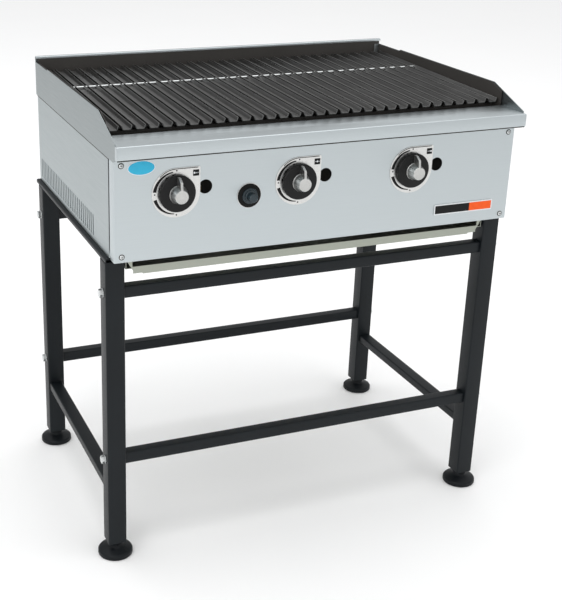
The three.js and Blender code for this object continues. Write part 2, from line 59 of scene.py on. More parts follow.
# ---------------------------------------------------------------- camera, floor and light
CAMERA_PLACE = (-1.03582, -2.26151, 1.47538)
CAMERA_PITCH = -20.27           # degrees below the horizon
CAMERA_TURN = 21.35             # degrees from +Y towards +X
CAMERA_ROLL = 0.99
CAMERA_LENS = 72.68             # on a 36 mm sensor
CAMERA_SHIFT = (0.1425, -0.0876)
SKY_LOW = (0.86, 0.87, 0.88, 1)
SKY_HIGH = (1, 1, 1, 1)
WALL_DIMMING = 0.62             # strength of the sky behind the object, against 1 in front
FLOOR_SIZE = 60
LIGHTS = (                      # name, place, target, size, watts
    ("key_left", (-3.2, -2.4, 2.6), (0, 0, 0.7), (2.4, 2.4), 26),
    ("overhead", (0, 0.6, 5.0), (0, 0.6, 0), (6.0, 6.0), 120),
)


def make_camera():
    camera = bpy.data.objects.new("camera", bpy.data.cameras.new("camera"))
    bpy.context.scene.collection.objects.link(camera)
    turn, pitch, roll = (math.radians(a) for a in (CAMERA_TURN, CAMERA_PITCH, CAMERA_ROLL))
    ahead = Vector((math.sin(turn) * math.cos(pitch), math.cos(turn) * math.cos(pitch),
                    math.sin(pitch)))
    level = Vector((math.cos(turn), -math.sin(turn), 0))
    above = level.cross(ahead)
    right = level * math.cos(roll) + above * math.sin(roll)
    top = above * math.cos(roll) - level * math.sin(roll)
    basis = Matrix((right, top, -ahead)).transposed().to_4x4()
    camera.matrix_world = Matrix.Translation(CAMERA_PLACE) @ basis
    camera.data.sensor_fit = "HORIZONTAL"
    camera.data.sensor_width = 36
    camera.data.lens = CAMERA_LENS
    camera.data.shift_x, camera.data.shift_y = CAMERA_SHIFT
    camera.data.clip_end = 60
    bpy.context.scene.camera = camera


def area_light(name, place, target, size, power):
    data = bpy.data.lights.new(name, "AREA")
    data.shape = "RECTANGLE"
    data.size, data.size_y = size
    data.energy = power
    light = bpy.data.objects.new(name, data)
    bpy.context.scene.collection.objects.link(light)
    aim = (Vector(target) - Vector(place)).to_track_quat("-Z", "Y")
    light.matrix_world = Matrix.Translation(place) @ aim.to_matrix().to_4x4()


def make_studio():
    scene = bpy.context.scene
    scene.view_settings.view_transform = "Standard"
    world = bpy.data.worlds.new("studio")
    world.use_nodes = True
    nodes, links = world.node_tree.nodes, world.node_tree.links
    sky = nodes["Background"]
    place = nodes.new("ShaderNodeTexCoord")
    split = nodes.new("ShaderNodeSeparateXYZ")
    links.new(place.outputs["Generated"], split.inputs[0])
    ramp = nodes.new("ShaderNodeValToRGB")
    links.new(split.outputs["Z"], ramp.inputs["Fac"])
    ramp.color_ramp.elements[0].color = SKY_LOW
    ramp.color_ramp.elements[1].color = SKY_HIGH
    links.new(ramp.outputs["Color"], sky.inputs["Color"])
    # The wall behind the object is dimmer, so that level steel reads darker than upright steel.
    fade = nodes.new("ShaderNodeMapRange")
    fade.inputs["From Min"].default_value = 0.1
    fade.inputs["From Max"].default_value = 0.9
    fade.inputs["To Min"].default_value = 1.0
    fade.inputs["To Max"].default_value = WALL_DIMMING
    links.new(split.outputs["Y"], fade.inputs["Value"])
    links.new(fade.outputs["Result"], sky.inputs["Strength"])
    scene.world = world

    bpy.ops.mesh.primitive_plane_add(size=FLOOR_SIZE, location=(0, 0, 0))
    floor = bpy.context.object
    floor.name = "floor"
    floor.data.materials.append(plain("floor_white", (0.96, 0.96, 0.96), 0.9))

    for light in LIGHTS:
        area_light(*light)


# ---------------------------------------------------------------- materials
def shader(name, base, roughness, metallic=0.0, **sockets):
    material = bpy.data.materials.new(name)
    material.use_nodes = True
    principled = material.node_tree.nodes["Principled BSDF"]
    principled.inputs["Base Color"].default_value = (*base, 1)
    principled.inputs["Roughness"].default_value = roughness
    principled.inputs["Metallic"].default_value = metallic
    for socket, value in sockets.items():
        principled.inputs[socket.replace("_", " ")].default_value = value
    return material


def add(material, kind, **values):
    node = material.node_tree.nodes.new("ShaderNode" + kind)
    for key, value in values.items():
        setattr(node, key, value)
    return node


def join(material, out, into):
    material.node_tree.links.new(out, into)


def noise(material, scale, detail=3.0, stretch=(1, 1, 1), rough=0.55):
    """Noise in the part's own frame, `scale` cells to the metre, stretched along some axes."""
    place = add(material, "TexCoord")
    mapping = add(material, "Mapping")
    mapping.inputs["Scale"].default_value = stretch
    join(material, place.outputs["Object"], mapping.inputs["Vector"])
    texture = add(material, "TexNoise")
    texture.inputs["Scale"].default_value = scale
    texture.inputs["Detail"].default_value = detail
    texture.inputs["Roughness"].default_value = rough
    join(material, mapping.outputs["Vector"], texture.inputs["Vector"])
    return texture.outputs["Fac"]


def ranged(material, factor, low, high, start=0.3, end=0.7):
    node = add(material, "MapRange")
    node.inputs["From Min"].default_value = start
    node.inputs["From Max"].default_value = end
    node.inputs["To Min"].default_value = low
    node.inputs["To Max"].default_value = high
    join(material, factor, node.inputs["Value"])
    return node.outputs["Result"]


def mixed(material, factor, first, second):
    """Colour that goes from `first` to `second`; each is a colour or another node's output."""
    node = add(material, "Mix", data_type="RGBA")
    join(material, factor, node.inputs["Factor"])
    for socket, value in ((node.inputs[6], first), (node.inputs[7], second)):
        if isinstance(value, (tuple, list)):
            socket.default_value = (*value, 1)
        else:
            join(material, value, socket)
    return node.outputs[2]


def vary(material, factor, first, second):
    socket = material.node_tree.nodes["Principled BSDF"].inputs["Base Color"]
    join(material, mixed(material, factor, first, second), socket)


def vary_roughness(material, factor, low, high):
    socket = material.node_tree.nodes["Principled BSDF"].inputs["Roughness"]
    join(material, ranged(material, factor, low, high), socket)


def bump(material, height, distance, strength=1.0):
    node = add(material, "Bump")
    node.inputs["Strength"].default_value = strength
    node.inputs["Distance"].default_value = distance
    join(material, height, node.inputs["Height"])
    principled = material.node_tree.nodes["Principled BSDF"]
    before = principled.inputs["Normal"]
    if before.is_linked:
        join(material, before.links[0].from_socket, node.inputs["Normal"])
    join(material, node.outputs["Normal"], before)


def plain(name, base, roughness):
    material = shader(name, base, roughness)
    vary(material, noise(material, 1.5), base, tuple(min(1, c * 1.02) for c in base))
    return material


def brushed_steel(name, base, grain, roughness=0.34):
    """Sheet steel brushed along one axis; `grain` stretches the noise, small along the brushing."""
    material = shader(name, base, roughness, 1.0, Anisotropic=0.45)
    lines = noise(material, 900, 2.0, grain, 0.6)
    clouds = noise(material, 3.0, 3.0)
    light = tuple(c * 1.02 for c in base)
    dark = tuple(c * 0.96 for c in base)
    streaked = mixed(material, ranged(material, lines, 0, 1), dark, light)
    vary(material, ranged(material, clouds, 0, 0.5), streaked, tuple(c * 0.97 for c in base))
    vary_roughness(material, lines, roughness - 0.05, roughness + 0.09)
    bump(material, lines, 0.00001, 0.4)
    return material


def powder_coat(name, base, roughness=0.42):
    material = shader(name, base, roughness, 0.0, IOR=1.33)
    grain = noise(material, 700, 2.0)
    vary(material, ranged(material, noise(material, 9), 0, 1), base, tuple(c * 1.35 for c in base))
    vary_roughness(material, grain, roughness - 0.06, roughness + 0.1)
    bump(material, grain, 0.00012, 0.6)
    return material


def matt_enamel(name, base):
    material = shader(name, base, 0.62, IOR=1.3)
    stains = noise(material, 6, 4.0)
    vary(material, ranged(material, stains, 0, 1), base, tuple(c * 1.25 for c in base))
    vary_roughness(material, stains, 0.5, 0.72)
    bump(material, noise(material, 300, 2.0), 0.0001, 0.4)
    return material


def cooking_steel(name, base, roughness=0.36):
    """Bare dark steel, drawn along Y, with smoked patches."""
    material = shader(name, base, roughness, 0.85)
    drawn = noise(material, 500, 2.0, (1, 0.02, 1))
    smoke = noise(material, 11, 4.0)
    streaked = mixed(material, ranged(material, drawn, 0, 1), tuple(c * 0.8 for c in base),
                     tuple(c * 1.2 for c in base))
    vary(material, ranged(material, smoke, 0, 0.45), streaked, tuple(c * 0.6 for c in base))
    vary_roughness(material, smoke, roughness - 0.08, roughness + 0.14)
    bump(material, drawn, 0.00004, 0.5)
    return material


def painted_glint_steel(name):
    """Painted highlight: bright glints in places along the bar edges."""
    material = shader(name, (0.3, 0.3, 0.295), 0.33, 1.0)
    spots = ranged(material, noise(material, 95, 3.0), 0, 1, 0.42, 0.66)
    stretches = ranged(material, noise(material, 7, 2.0), 0, 1, 0.35, 0.65)
    glinting = mixed(material, spots, (0.14, 0.138, 0.135), (0.62, 0.61, 0.60))
    vary(material, stretches, (0.17, 0.168, 0.165), glinting)
    vary_roughness(material, spots, 0.42, 0.26)
    return material


def plated(name, base, roughness=0.28):
    material = shader(name, base, roughness, 1.0)
    spangle = noise(material, 160, 2.0)
    vary(material, ranged(material, spangle, 0, 1), tuple(c * 0.9 for c in base), base)
    vary_roughness(material, spangle, roughness - 0.06, roughness + 0.12)
    bump(material, noise(material, 900, 1.0), 0.00002, 0.4)
    return material


def moulded(name, base, roughness, grain_depth=0.00006, **sockets):
    material = shader(name, base, roughness, 0.0, **sockets)
    grain = noise(material, 1100, 2.0)
    vary(material, ranged(material, noise(material, 25), 0, 1), base, tuple(c * 1.3 for c in base))
    vary_roughness(material, grain, roughness - 0.05, roughness + 0.08)
    bump(material, grain, grain_depth, 0.5)
    return material


def print_ink(name, base, roughness=0.4):
    material = shader(name, base, roughness, 0.0, IOR=1.3)
    blotches = ranged(material, noise(material, 120), 0, 1)
    vary(material, blotches, base, tuple(c * 0.92 for c in base))
    return material


def make_materials():
    return {
        "steel_x": brushed_steel("steel_brushed_along_x", (0.53, 0.575, 0.59), (0.012, 1, 1)),
        # The side panels get a darker copy of the front's steel: painted shade of the sides.
        "steel_y": brushed_steel("steel_along_y_shaded", (0.385, 0.425, 0.433), (1, 0.012, 1)),
        # The guards take the same painted side shade and are darker again than the side panels.
        "steel_guard_shaded": brushed_steel("steel_guard_shaded", (0.305, 0.337, 0.343), (1, 0.012, 1)),
        "paint": powder_coat("black_powder_coat", (0.0035, 0.0055, 0.0072)),
        "enamel": matt_enamel("black_enamel", (0.043, 0.040, 0.037)),
        "grate": cooking_steel("cooking_steel", (0.125, 0.124, 0.122), 0.3),
        "painted_glint": painted_glint_steel("painted_glint_bar_edge"),
        # Near-black for painted shadow lines: under the lip, under the guards and round the panel
        # screws.
        "painted_shadow": moulded("painted_shadow_dark", (0.03, 0.028, 0.022), 0.55, IOR=1.35),
        "iron": cooking_steel("burner_iron", (0.06, 0.06, 0.06), 0.5),
        "zinc": plated("zinc_plate", (0.70, 0.72, 0.72)),
        "brass": plated("machined_brass", (0.55, 0.42, 0.18)),
        "galvanised": plated("galvanised_sheet", (0.40, 0.42, 0.365), 0.42),
        "foot": moulded("foot_plastic", (0.003, 0.0045, 0.006), 0.45, IOR=1.3),
        "knob_metal": plated("satin_knob_metal", (0.58, 0.58, 0.565), 0.3),
        "knob_disc": moulded("knob_disc_black", (0.006, 0.006, 0.006), 0.4, IOR=1.3),
        "bezel": plated("bezel_plate", (0.72, 0.72, 0.705), 0.3),
        "gloss": moulded("gloss_black", (0.0015, 0.0018, 0.002), 0.14, 0.00001, IOR=1.25),
        "push": moulded("igniter_push_black", (0.014, 0.024, 0.030), 0.24, 0.00001, IOR=1.45),
        # Black for print, and for painted shade in the screw recesses and along the bezel rims.
        "black_print_and_shade": print_ink("black_print_and_shade", (0.003, 0.003, 0.003)),
        "blue_ink": print_ink("label_blue", (0.045, 0.462, 0.694)),
        "white_film": print_ink("label_white", (0.80, 0.82, 0.84)),
        "orange_ink": print_ink("badge_orange", (0.88, 0.105, 0.012)),
        "badge_rim": plated("badge_rim", (0.78, 0.80, 0.81), 0.3),
    }


# ---------------------------------------------------------------- mesh building
WELD_DISTANCE = 1e-6
HOLE_MARGIN = 10 * MM           # how far a cutter stands out of the sheet it cuts


def linked_object(name, builder):
    """Puts a built mesh into the scene as a new object."""
    mesh = bpy.data.meshes.new(name)
    builder.to_mesh(mesh)
    builder.free()
    piece = bpy.data.objects.new(name, mesh)
    bpy.context.scene.collection.objects.link(piece)
    return piece


def finish_piece(name, builder, material, body, replaces=(), smooth_angle=38):
    """A shaded piece that rides a body and may stand for CAD nodes."""
    bmesh.ops.remove_doubles(builder, verts=builder.verts, dist=WELD_DISTANCE)
    bmesh.ops.recalc_face_normals(builder, faces=builder.faces)
    limit = math.radians(smooth_angle)
    for edge in builder.edges:
        edge.smooth = len(edge.link_faces) == 2 and edge.calc_face_angle(0) < limit
    for face in builder.faces:
        face.smooth = True
    piece = linked_object(name, builder)
    piece.data.materials.append(material)
    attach(piece, body)
    if replaces:
        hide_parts(*replaces)
    return piece


AXES = {"x": (1, 2, 0), "y": (2, 0, 1), "z": (0, 1, 2)}


def at(axis, u, v, w):
    """A point from (u, v) across the axis and w along it: (y, z), (z, x) or (x, y) across."""
    point = [0.0, 0.0, 0.0]
    for index, value in zip(AXES[axis], (u, v, w)):
        point[index] = value
    return point


def arc(centre, radius, start, end, steps):
    angles = [math.radians(start + (end - start) * i / steps) for i in range(steps + 1)]
    return [(centre[0] + radius * math.cos(a), centre[1] + radius * math.sin(a)) for a in angles]


def rounded(points, radii, closed=True, steps=4):
    """The corners of an outline replaced by arcs of the given radii."""
    count = len(points)
    if not hasattr(radii, "__len__"):
        radii = [radii] * count
    result = []
    for i, point in enumerate(points):
        here = Vector(point)
        if radii[i] <= 0 or (not closed and i in (0, count - 1)):
            result.append(tuple(here))
            continue
        back = Vector(points[i - 1]) - here
        on = Vector(points[(i + 1) % count]) - here
        half = back.angle(on) / 2
        reach = min(radii[i] / math.tan(half), back.length * 0.49, on.length * 0.49)
        radius = reach * math.tan(half)
        inward = (back.normalized() + on.normalized()).normalized()
        centre = here + inward * (radius / math.sin(half))
        first = here + back.normalized() * reach - centre
        last = here + on.normalized() * reach - centre
        sweep = math.atan2(first.x * last.y - first.y * last.x, first.dot(last))
        for k in range(steps + 1):
            a = sweep * k / steps
            result.append((centre.x + first.x * math.cos(a) - first.y * math.sin(a),
                           centre.y + first.x * math.sin(a) + first.y * math.cos(a)))
    return result


def folded(path, thickness, radius, steps=4):
    """Closed outline of a bent sheet: the path is its outer face, the sheet lies on its left."""
    line = rounded(path, radius, closed=False, steps=steps)
    runs = [(Vector(b) - Vector(a)).normalized() for a, b in zip(line, line[1:])]
    left = [Vector((-r.y, r.x)) for r in runs]
    inner = []
    for i, point in enumerate(line):
        before, after = left[max(i - 1, 0)], left[min(i, len(left) - 1)]
        offset = (before + after) * (thickness / (1 + before.dot(after)))
        inner.append((point[0] + offset.x, point[1] + offset.y))
    return line + inner[::-1]


def bridge(builder, first, second):
    """Quads between two rings of equally many points."""
    count = len(first)
    for i in range(count):
        j = (i + 1) % count
        builder.faces.new((first[i], first[j], second[j], second[i]))


def end_rings(builder, axis, outline, start, end):
    rings = [[builder.verts.new(at(axis, u, v, w)) for u, v in outline] for w in (start, end)]
    bridge(builder, *rings)
    return rings


def strip_prism(builder, axis, outline, start, end):
    """A closed outline swept straight along an axis, with both ends capped."""
    for ring in end_rings(builder, axis, outline, start, end):
        builder.faces.new(ring)


def rectangle(u0, v0, u1, v1):
    return [(u0, v0), (u1, v0), (u1, v1), (u0, v1)]


def sheet_prism(builder, axis, outline, start, end):
    """A folded sheet swept along an axis; its end faces are made of quads across the sheet."""
    count = len(outline)
    for ring in end_rings(builder, axis, outline, start, end):
        for i in range(count // 2 - 1):
            builder.faces.new((ring[i], ring[i + 1], ring[count - 2 - i], ring[count - 1 - i]))


def lathe(builder, axis, profile, centre, steps=48):
    """A turned piece: (radius, distance along the axis) points, from end to end."""
    rings = []
    for radius, w in profile:
        if radius <= 1e-7:
            rings.append([builder.verts.new(at(axis, centre[0], centre[1], w))])
            continue
        rings.append([builder.verts.new(at(axis, u, v, w))
                      for u, v in arc(centre, radius, 0, 360, steps)[:-1]])
    for a, b in zip(rings, rings[1:]):
        for i in range(steps):
            j = (i + 1) % steps
            corners = [a[i % len(a)], a[j % len(a)], b[j % len(b)], b[i % len(b)]]
            unique = list(dict.fromkeys(corners))
            if len(unique) > 2:
                builder.faces.new(unique)


def round_profile(profile, radius):
    """Turned profile with its corners eased."""
    return rounded(profile, radius, closed=False, steps=3)


def plug(builder, axis, radius, start, end, centre, steps=32):
    """Plain round bar."""
    lathe(builder, axis, [(0, start), (radius, start), (radius, end), (0, end)], centre, steps)


def square_tube(builder, axis, width, height, wall, radius, start, end, centre):
    """Rounded rectangular tube, open at both ends."""
    def ring(shrink, w):
        a, b = width / 2 - shrink, height / 2 - shrink
        corners = rectangle(centre[0] - a, centre[1] - b, centre[0] + a, centre[1] + b)
        eased = rounded(corners, max(radius - shrink, 0.4 * MM), steps=4)
        return [builder.verts.new(at(axis, u, v, w)) for u, v in eased]

    rings = [ring(0, start), ring(0, end), ring(wall, end), ring(wall, start)]
    for first, second in zip(rings, rings[1:] + rings[:1]):
        bridge(builder, first, second)


def cut(piece, cutter):
    """Cuts one piece by another, applies the result and removes the cutter."""
    modifier = piece.modifiers.new("cut", "BOOLEAN")
    modifier.operation = "DIFFERENCE"
    modifier.solver = "EXACT"
    modifier.object = cutter
    bpy.context.view_layer.update()
    graph = bpy.context.evaluated_depsgraph_get()
    result = bpy.data.meshes.new_from_object(piece.evaluated_get(graph))
    if len(result.vertices) < len(piece.data.vertices) // 2:
        raise RuntimeError(f"cutting {piece.name} left almost nothing of it")
    piece.modifiers.remove(modifier)
    piece.data = result
    bpy.data.objects.remove(cutter)


def loose(name, builder):
    """An object that only serves as a cutter."""
    bmesh.ops.recalc_face_normals(builder, faces=builder.faces)
    return linked_object(name, builder)


def bevel_edges(piece, width, limit, segments=2):
    """Bevels every edge sharper than `limit` degrees, as a modifier."""
    bevel = piece.modifiers.new("bevel", "BEVEL")
    bevel.width = width
    bevel.segments = segments
    bevel.limit_method = "ANGLE"
    bevel.angle_limit = math.radians(limit)
    return bevel


def ease_edges(node, width):
    """Small bright edges on a CAD sheet node, by modifiers only."""
    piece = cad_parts[node]
    weld = piece.modifiers.new("weld", "WELD")
    weld.merge_threshold = WELD_DISTANCE
    bevel_edges(piece, width, 40).harden_normals = True


def dress(node, material, edge=0.4 * MM):
    """Gives a CAD node its material, and eases its edges by `edge` unless that is 0."""
    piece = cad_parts[node]
    piece.data.materials.clear()
    piece.data.materials.append(material)
    if edge:
        ease_edges(node, edge)


def middle(node):
    low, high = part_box(node)
    return (low + high) / 2


# ---------------------------------------------------------------- stand
TUBE_WALL = 2 * MM
TUBE_BEND = 3.2 * MM
COLLAR_RADIUS = 15 * MM         # of a levelling foot
COLLAR_TOP = 31.8 * MM
STEM_RADIUS = 6 * MM
WASHER_RADIUS = 9.5 * MM
WASHER_THICKNESS = 1.5 * MM
BOLT_RADIUS = 4 * MM
BOLT_FLATS = 16 * MM            # across the flats of the head
BOLT_REACH = 8.9 * MM           # from the leg to the end of the head
BOLT_CHAMFER = 1.2 * MM
CHAMFER_SHARE = 0.86            # width left at the end of the head


def box_tube(name, axis, material, node):
    """Painted tube that fills the CAD node's box along the given axis."""
    low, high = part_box(node)
    u, v, w = AXES[axis]
    builder = bmesh.new()
    square_tube(builder, axis, high[u] - low[u], high[v] - low[v], TUBE_WALL, TUBE_BEND,
                low[w], high[w], ((low[u] + high[u]) / 2, (low[v] + high[v]) / 2))
    finish_piece(name, builder, material, "cabinet", [node])


def stand(mats):
    for side_name, side in SIDES:
        box_tube(f"top_rail_tube_{side_name}", "y", mats["paint"], f"top_rail_{side_name}")
        box_tube(f"side_rail_tube_{side_name}", "y", mats["paint"], f"side_rail_{side_name}")
        for row in ROWS:
            box_tube(f"leg_tube_{row}_{side_name}", "z", mats["paint"], f"leg_{row}_{side_name}")
            levelling_foot(f"{row}_{side_name}", mats)
            for level in LEVELS:
                hex_bolt(f"{row}_{level}_{side_name}", side, mats)
    for row in ROWS:
        for level in LEVELS:
            name = f"stretcher_tube_{row}_{level}"
            box_tube(name, "x", mats["paint"], f"stretcher_{row}_{level}")


def levelling_foot(where, mats):
    node = f"foot_{where}"
    low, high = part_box(node)
    x, y, _ = middle(node)
    radius = (high.x - low.x) / 2
    pad = round_profile([
        (0, 0), (radius - 3 * MM, 0), (radius, 1.6 * MM), (radius, 9.5 * MM),
        (radius - 2.2 * MM, 12.5 * MM), (radius - 7 * MM, 14.2 * MM), (19 * MM, 18.5 * MM),
        (16 * MM, 20.5 * MM), (COLLAR_RADIUS, 23 * MM), (COLLAR_RADIUS, COLLAR_TOP),
        (STEM_RADIUS, COLLAR_TOP), (STEM_RADIUS, high.z), (0, high.z)], 1.2 * MM)
    builder = bmesh.new()
    lathe(builder, "z", pad, (x, y), 64)
    finish_piece(f"foot_pad_{where}", builder, mats["foot"], node, [node])
    # A ring moulded round the collar, as a grip for turning the foot.
    ring = bmesh.new()
    lathe(ring, "z", round_profile([
        (14 * MM, 24.4 * MM), (16.2 * MM, 24.4 * MM), (16.2 * MM, 27.4 * MM), (14 * MM, 27.4 * MM)],
        0.5 * MM), (x, y), 48)
    finish_piece(f"foot_ring_{where}", ring, mats["foot"], node)


def hex_bolt(where, side, mats):
    """Hexagon head on a washer, with a plain shank through the leg."""
    node = f"bolt_{where}"
    low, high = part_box(node)
    _, y, z = middle(node)
    outer, inner_end = (high.x, low.x) if side > 0 else (low.x, high.x)
    face = outer - side * BOLT_REACH
    washer_top = face + side * WASHER_THICKNESS
    builder = bmesh.new()
    washer = [(0, face), (WASHER_RADIUS, face), (WASHER_RADIUS, washer_top), (0, washer_top)]
    lathe(builder, "x", round_profile(washer, 0.3 * MM), (y, z), 36)
    hexagon = arc((y, z), BOLT_FLATS / math.sqrt(3), 0, 360, 6)[:-1]
    rings = []
    for share, out in ((1.0, WASHER_THICKNESS), (1.0, BOLT_REACH - BOLT_CHAMFER),
                       (CHAMFER_SHARE, BOLT_REACH)):
        rings.append([builder.verts.new(at("x", y + (u - y) * share, z + (v - z) * share,
                                           face + side * out)) for u, v in hexagon])
    for first, second in zip(rings, rings[1:]):
        bridge(builder, first, second)
    builder.faces.new(rings[0])
    builder.faces.new(rings[-1])
    plug(builder, "x", BOLT_RADIUS, face, inner_end, (y, z), 24)
    finish_piece(f"bolt_head_{where}", builder, mats["zinc"], "cabinet", [node])


# ---------------------------------------------------------------- cabinet skin
SHEET = 1.5 * MM
BEND = 2.4 * MM
LIP_FLANGE = 59 * MM            # depth of the flange under the lip
LIP_DROP = 14 * MM              # height of its turned-down rear edge
LIP_RISE = 1.5 * MM             # from the front of its top to the rear
LIP_CAP_DEPTH = 9.8 * MM
LIP_END_GAP = 1.6 * MM          # keeps the lip sheet clear of its welded caps
LIGHTING_RISE = 7 * MM          # lighting holes above the middle of the knobs
LIGHTING_HOLE = 14.3 * MM
SPINDLE_HOLE = 8 * MM
IGNITER_HOLE = 11 * MM
SCREW_HEAD = 4.5 * MM
SCREW_SHANK = 2 * MM
SCREW_RING = 5.9 * MM           # dark ring round each panel screw: painted shadow round its head


def hob_lip(mats):
    low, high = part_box("hob_lip")
    front, rear, half = low.y, high.y, high.x
    shoulder = high.z - LIP_RISE
    path = [(rear, high.z - LIP_DROP), (rear, high.z), (front, shoulder), (front, low.z),
            (front + LIP_FLANGE, low.z)]
    builder = bmesh.new()
    reach = half - LIP_END_GAP
    sheet_prism(builder, "x", folded(path, SHEET, BEND, 5), -reach, reach)
    # Welded caps close the nose of the lip, flush with the outside of the side guards.
    for _, side in SIDES:
        nose = rectangle(front, low.z, front + LIP_CAP_DEPTH, shoulder)
        cap = rounded(nose, [BEND, 0, 0, BEND], steps=5)
        strip_prism(builder, "x", cap, *sorted((side * half, side * (half - SHEET))))
    finish_piece("hob_lip_sheet", builder, mats["steel_x"], "cabinet", ["hob_lip"])
    # A dark strip just under the front edge of the lip: painted shadow of the lip.
    shadow_line = bmesh.new()
    section = rectangle(front + 0.6 * MM, low.z - 1.5 * MM, front + 3 * MM, low.z - 0.1 * MM)
    shadow_line_reach = half - 1.8 * MM
    strip_prism(shadow_line, "x", rounded(section, 0.3 * MM, steps=2), -shadow_line_reach, shadow_line_reach)
    finish_piece("lip_shadow_line", shadow_line, mats["painted_shadow"], "cabinet")


def rear_splash(mats):
    low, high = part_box("rear_splash")
    hem = 5.1 * MM
    path = [(high.y, low.z), (high.y, high.z), (low.y, high.z), (low.y, high.z - hem)]
    builder = bmesh.new()
    sheet_prism(builder, "x", folded(path, SHEET, 1.8 * MM, 5), low.x, high.x)
    finish_piece("rear_splash_sheet", builder, mats["steel_x"], "cabinet",
                 ["rear_splash"])


def control_panel(mats):
    low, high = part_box("control_panel")
    path = [(low.x, high.y), (low.x, low.y), (high.x, low.y), (high.x, high.y)]
    builder = bmesh.new()
    sheet_prism(builder, "z", folded(path, SHEET, BEND, 5), low.z, high.z)
    inset, depth = 2 * MM, 12 * MM
    for z in (low.z, high.z - SHEET):
        flange = rectangle(low.x + inset, low.y + 1 * MM, high.x - inset, low.y + depth)
        strip_prism(builder, "z", flange, z + FINE_GAP, z + SHEET - FINE_GAP)
    panel = finish_piece("control_panel_sheet", builder, mats["steel_x"], "cabinet",
                         ["control_panel"])
    holes = bmesh.new()
    reach = (low.y - HOLE_MARGIN, low.y + HOLE_MARGIN)
    lighting_z = middle("valve_spindle_1").z + LIGHTING_RISE
    for station in STATIONS:
        lighting = (lighting_z, middle(f"burner_{station}").x)
        spindle = middle(f"valve_spindle_{station}")
        plug(holes, "y", LIGHTING_HOLE, *reach, lighting, 48)
        plug(holes, "y", SPINDLE_HOLE, *reach, (spindle.z, spindle.x))
    centre = middle("igniter_body")
    plug(holes, "y", IGNITER_HOLE, *reach, (centre.z, centre.x))
    cut(panel, loose("panel_holes", holes))


def skin(mats):
    hob_lip(mats)
    rear_splash(mats)
    control_panel(mats)
    for side, _ in SIDES:
        dress(f"side_panel_{side}", mats["steel_y"], 0.7 * MM)
        dress(f"side_guard_{side}", mats["steel_guard_shaded"], 0.4 * MM)
    dress("back_panel", mats["steel_x"])
    dress("fire_box", mats["enamel"], 0.3 * MM)
    dress("grease_gutter", mats["enamel"], 0.3 * MM)
    panel_screws(mats)
    corner_strip(mats)
    guard_shadow_lines(mats)
    vent_liners(mats)


def guard_shadow_lines(mats):
    """Dark strip on each side panel along the lower edge of the guard: painted shadow of the
    guard's edge.
    """
    for side_name, side in SIDES:
        panel_low, panel_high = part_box(f"side_panel_{side_name}")
        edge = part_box(f"side_guard_{side_name}")[0].z
        outer = panel_high.x if side > 0 else panel_low.x
        builder = bmesh.new()
        shadow_line = rounded([(outer, edge - 3.9 * MM), (outer + side * 0.8 * MM, edge - 3.4 * MM),
                        (outer + side * 0.8 * MM, edge + 3 * MM), (outer, edge + 3 * MM)],
                       0.2 * MM, steps=3)
        strip_prism(builder, "y", [(z, x) for x, z in shadow_line], panel_low.y, panel_high.y)
        finish_piece(f"guard_shadow_line_{side_name}", builder, mats["painted_shadow"], "cabinet")


def vent_liners(mats):
    """Plain sheets just inside the side panels, behind the vent slots."""
    for side_name, side in SIDES:
        low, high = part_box(f"side_panel_{side_name}")
        outer = high.x if side > 0 else low.x
        x0, x1 = sorted((outer - side * 1.8 * MM, outer - side * 2.6 * MM))
        builder = bmesh.new()
        liner = rectangle(low.y + 98 * MM, low.z + 6 * MM, high.y - 12 * MM, low.z + 62 * MM)
        strip_prism(builder, "x", rounded(liner, 1 * MM, steps=2), x0, x1)
        finish_piece(f"vent_liner_{side_name}", builder, mats["steel_y"], "cabinet")


def panel_screws(mats):
    low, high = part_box("control_panel")
    front = low.y
    for side_name, side in SIDES:
        for level, z in (("upper", high.z - 17.4 * MM), ("lower", low.z + 11.4 * MM)):
            x = side * (high.x - 15.5 * MM)
            builder = bmesh.new()
            lathe(builder, "y", round_profile([
                (0, front + 4 * MM), (SCREW_SHANK, front + 4 * MM), (SCREW_SHANK, front),
                (SCREW_HEAD, front), (4.3 * MM, front - 1.1 * MM), (2.9 * MM, front - 2.2 * MM),
                (0, front - 2.5 * MM)], 0.25 * MM), (z, x), 32)
            finish_piece(f"panel_screw_{level}_{side_name}", builder, mats["zinc"],
                         "cabinet")
            # Painted shadow: a dark ring on the panel round the screw head.
            ring = bmesh.new()
            plug(ring, "y", SCREW_RING, front - FINE_GAP, front - 2 * FINE_GAP, (z, x))
            finish_piece(f"screw_ring_{level}_{side_name}", ring, mats["painted_shadow"],
                         "cabinet")
            # Painted shade: a black cross on the head stands for the shadow in its cross recess.
            cross_shade = bmesh.new()
            for across, along in ((0.45 * MM, 2.4 * MM), (2.4 * MM, 0.45 * MM)):
                arm = rectangle(z - across, x - along, z + across, x + along)
                strip_prism(cross_shade, "y", arm, front - 2.0 * MM, front - 2.6 * MM)
            finish_piece(f"screw_cross_shade_{level}_{side_name}", cross_shade, mats["black_print_and_shade"],
                         "cabinet")


def corner_strip(mats):
    """Upright steel strip that closes the joint of splash and guard in the rear right corner."""
    _, box_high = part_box("fire_box")
    x1 = box_high.x - 1.9 * MM
    y1 = box_high.y - 2.2 * MM
    builder = bmesh.new()
    strip = rounded(rectangle(x1 - 12 * MM, y1 - 1 * MM, x1, y1), 0.3 * MM, steps=2)
    strip_prism(builder, "z", strip, box_high.z - 68 * MM, box_high.z - 7 * MM)
    finish_piece("corner_strip", builder, mats["steel_x"], "cabinet")


